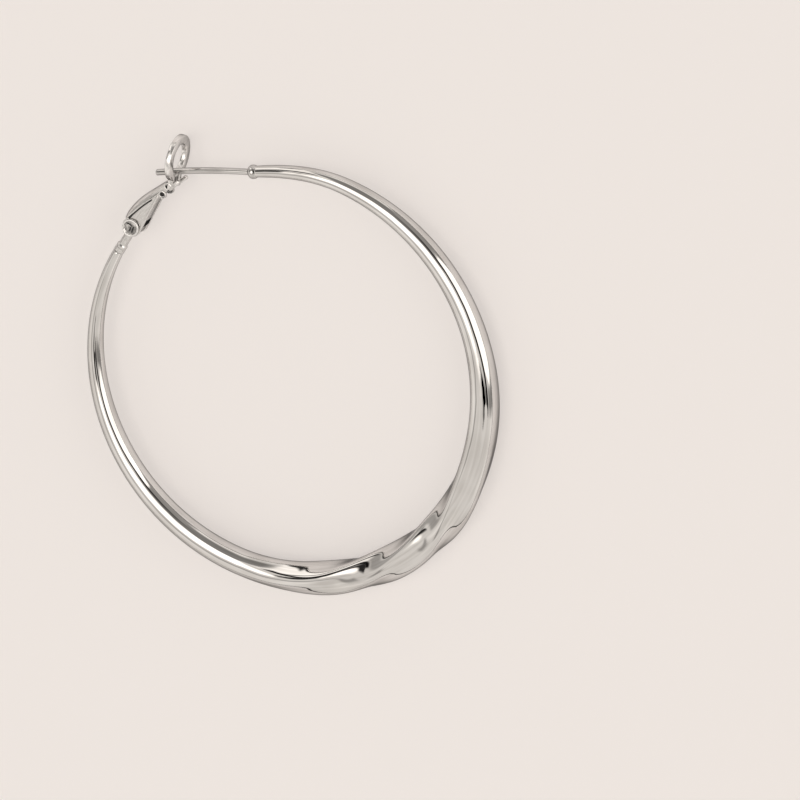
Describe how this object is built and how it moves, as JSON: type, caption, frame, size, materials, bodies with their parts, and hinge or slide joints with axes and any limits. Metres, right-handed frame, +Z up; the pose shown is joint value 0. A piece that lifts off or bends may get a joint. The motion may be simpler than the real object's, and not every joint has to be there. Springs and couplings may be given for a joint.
{
  "type": "hinged hoop earring",
  "caption": "Twisted, tapered tube hoop earring with a straight ear post and a sprung ring clip that turns on a hollow rivet.",
  "frame": {"origin": "under the middle of the closed earring's box, on the surface it lies on", "axes": "+Z up, within a degree of the hoop's own axis, as the earring lies on its side; +X from the clip towards the hoop's far side; +Y from the thick side towards the post and the clip's ring"},
  "size_m": [0.0596, 0.0624, 0.0063],
  "materials": {
    "polished_tube": "mirror-polished silver-tone plating",
    "polished_post": "polished silver-tone wire",
    "cast_knuckle": "tumbled silver-tone casting",
    "rolled_rivet": "bright rolled rivet",
    "stamped_lever": "polished stamped sheet",
    "spring_strip": "bright spring strip"
  },
  "bodies": {
    "hoop": {"hoop_tube": "polished_tube", "ear_post": "polished_post", "hinge_knuckle": "cast_knuckle", "hinge_rivet": "rolled_rivet"},
    "clip": {"clip_lever": "stamped_lever", "leaf_spring": "spring_strip"}
  },
  "joints": [
    {"name": "clip_hinge", "type": "hinge", "parent": "hoop", "child": "clip", "pos_m": [-0.0214, 0.01841, 0.00318], "axis": [0.0139, -0.007, 0.9999], "range_deg": [0, 80]}
  ]
}
